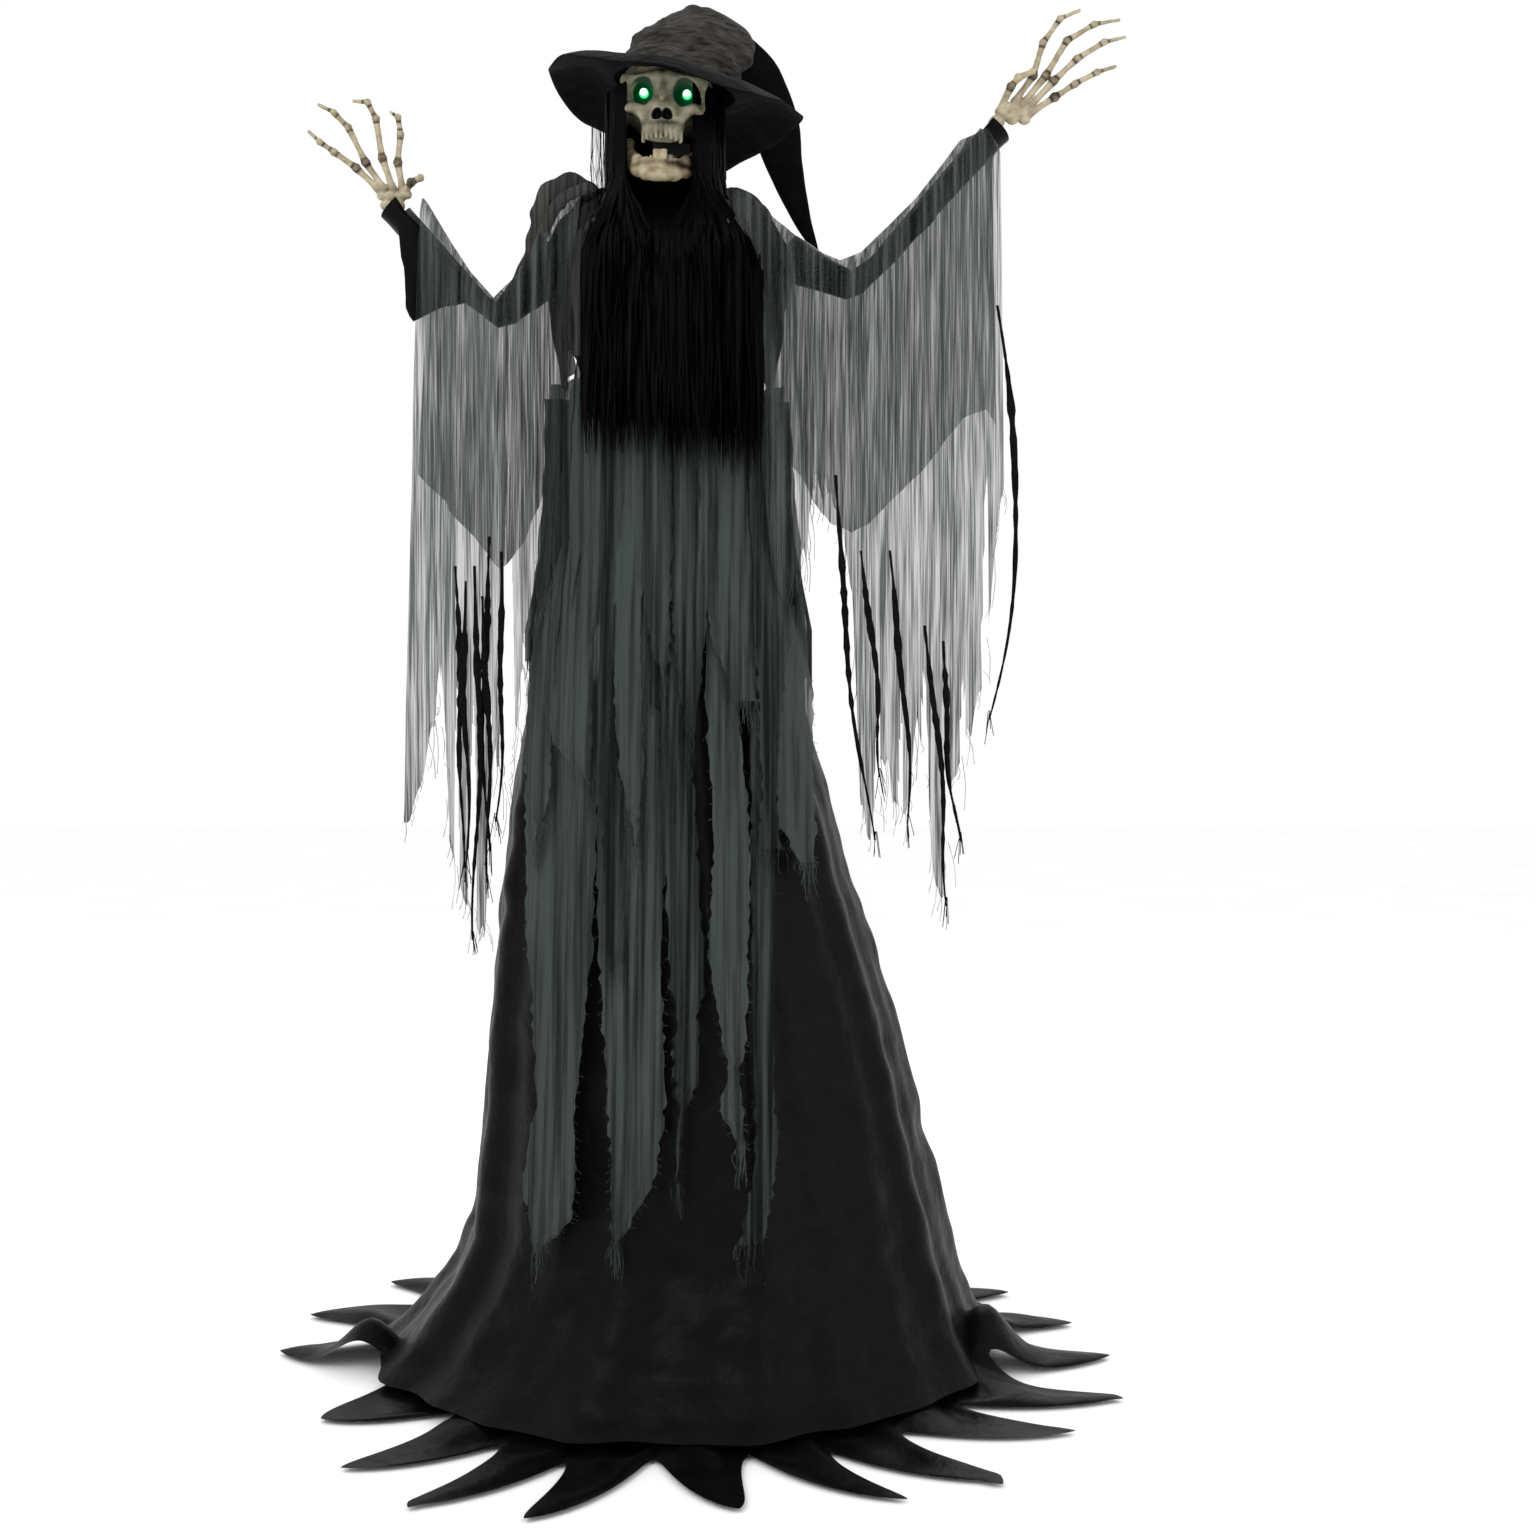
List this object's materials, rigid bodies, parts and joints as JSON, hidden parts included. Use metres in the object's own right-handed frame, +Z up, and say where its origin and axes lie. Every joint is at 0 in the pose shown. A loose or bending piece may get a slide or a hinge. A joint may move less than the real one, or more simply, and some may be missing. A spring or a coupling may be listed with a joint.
{
  "type": "animated witch figure",
  "caption": "Life-size standing skeletal witch figure with raised arms, pointed soft hat, torn gauze robe, black floor-length dress and clawed train.",
  "frame": {"origin": "on the floor, under the centre of the pole, on the underside of the base tube that runs from side to side", "axes": "+Z up along the pole, -Y out of the figure's front, +X to the right as seen from the front"},
  "size_m": [1.1628, 1.1852, 1.8544],
  "materials": {
    "frame_steel": "satin black powder coat",
    "zinc_steel": "zinc plated",
    "black_plastic": "matt moulded",
    "battery_jacket": "printed film jacket, plain",
    "board": "solder mask",
    "bone_plastic": "moulded, brown stain wiped into the recesses",
    "eye_lamp": "clear green lens, lit",
    "black_felt": "black cloth under crinkled dark gauze",
    "wig_hair": "long synthetic wig hair",
    "black_satin": "thin slightly shiny polyester",
    "grey_gauze": "open cheesecloth, torn and frayed"
  },
  "bodies": {
    "root": {"base_tube_across": "frame_steel", "base_tube_deep": "frame_steel", "base_cap_right": "black_plastic", "base_cap_rear": "black_plastic", "base_cap_left": "black_plastic", "base_cap_front": "black_plastic", "pole_socket": "frame_steel", "lower_pole": "frame_steel", "middle_pole": "frame_steel", "upper_pole": "frame_steel", "hip_ring": "frame_steel", "torso_form_rear": "black_plastic", "torso_form_front": "black_plastic", "shoulder_bar": "frame_steel", "shoulder_bolt_left": "zinc_steel", "shoulder_bolt_right": "zinc_steel", "head_motor": "black_plastic", "control_box": "black_plastic", "control_box_cover": "black_plastic", "battery_1": "battery_jacket", "battery_2": "battery_jacket", "battery_3": "battery_jacket", "circuit_board": "board", "speaker": "black_plastic", "power_inlet": "black_plastic", "hair_left": "wig_hair", "hair_right": "wig_hair", "hair_rear": "wig_hair", "dress_rear": "black_satin", "dress_front": "black_satin", "train_rear": "black_satin", "train_front": "black_satin", "robe_front": "grey_gauze", "robe_rear": "grey_gauze", "shawl": "grey_gauze", "gauze_sleeve_left": "grey_gauze", "gauze_sleeve_right": "grey_gauze"},
    "head": {"neck_shaft": "zinc_steel", "skull_front": "bone_plastic", "skull_rear": "bone_plastic", "eye_lamp_left": "eye_lamp", "eye_lamp_right": "eye_lamp", "jaw_motor": "black_plastic", "hat_brim": "black_felt", "hat_crown": "black_felt", "hat_tail": "black_felt", "hair_cap": "wig_hair"},
    "jaw": {"jaw": "bone_plastic"},
    "arm_left": {"arm_tube_left": "frame_steel", "dress_sleeve_left": "black_satin"},
    "arm_right": {"arm_tube_right": "frame_steel", "dress_sleeve_right": "black_satin"},
    "hand_left": {"hand_left": "bone_plastic"},
    "hand_right": {"hand_right": "bone_plastic"},
    "snap_button_lower": {"snap_button_lower": "zinc_steel"},
    "snap_button_upper": {"snap_button_upper": "zinc_steel"},
    "try_me_button": {"try_me_button": "black_plastic"},
    "selector_switch": {"selector_switch": "black_plastic"},
    "battery_door": {"battery_door": "black_plastic"}
  },
  "joints": [
    {"name": "head_turn", "type": "hinge", "parent": "root", "child": "head", "pos_m": [0, 0, 1.573], "axis": [0, 0, 1], "range_deg": [-30, 30]},
    {"name": "jaw_open", "type": "hinge", "parent": "head", "child": "jaw", "pos_m": [0.00502, 0.008, 1.66887], "axis": [0.9986, 0, -0.0523], "range_deg": [-12, 5]},
    {"name": "arm_left_tilt", "type": "hinge", "parent": "root", "child": "arm_left", "pos_m": [-0.126, -0.018, 1.54], "axis": [0, 1, 0], "range_deg": [-8, 12]},
    {"name": "arm_right_tilt", "type": "hinge", "parent": "root", "child": "arm_right", "pos_m": [0.126, -0.018, 1.54], "axis": [0, 1, 0], "range_deg": [-12, 8]},
    {"name": "wrist_left_turn", "type": "hinge", "parent": "arm_left", "child": "hand_left", "pos_m": [-0.358, -0.08, 1.571], "axis": [-0.6593, -0.1465, 0.7375], "range_deg": [-30, 30]},
    {"name": "wrist_right_turn", "type": "hinge", "parent": "arm_right", "child": "hand_right", "pos_m": [0.439, -0.08, 1.678], "axis": [0.653, -0.1042, 0.7502], "range_deg": [-30, 30]},
    {"name": "snap_lower_press", "type": "slide", "parent": "root", "child": "snap_button_lower", "axis": [0, -1, 0], "range_m": [0, 0.0035], "stiffness_N_per_m": 800},
    {"name": "snap_upper_press", "type": "slide", "parent": "root", "child": "snap_button_upper", "axis": [0, -1, 0], "range_m": [0, 0.0035], "stiffness_N_per_m": 800},
    {"name": "try_me_press", "type": "slide", "parent": "root", "child": "try_me_button", "axis": [-1, 0, 0], "range_m": [0, 0.0025], "stiffness_N_per_m": 300},
    {"name": "selector_slide", "type": "slide", "parent": "root", "child": "selector_switch", "axis": [0, 0, 1], "range_m": [-0.004, 0.004]},
    {"name": "battery_door_slide", "type": "slide", "parent": "root", "child": "battery_door", "axis": [0, 0, -1], "range_m": [0, 0.05]}
  ]
}
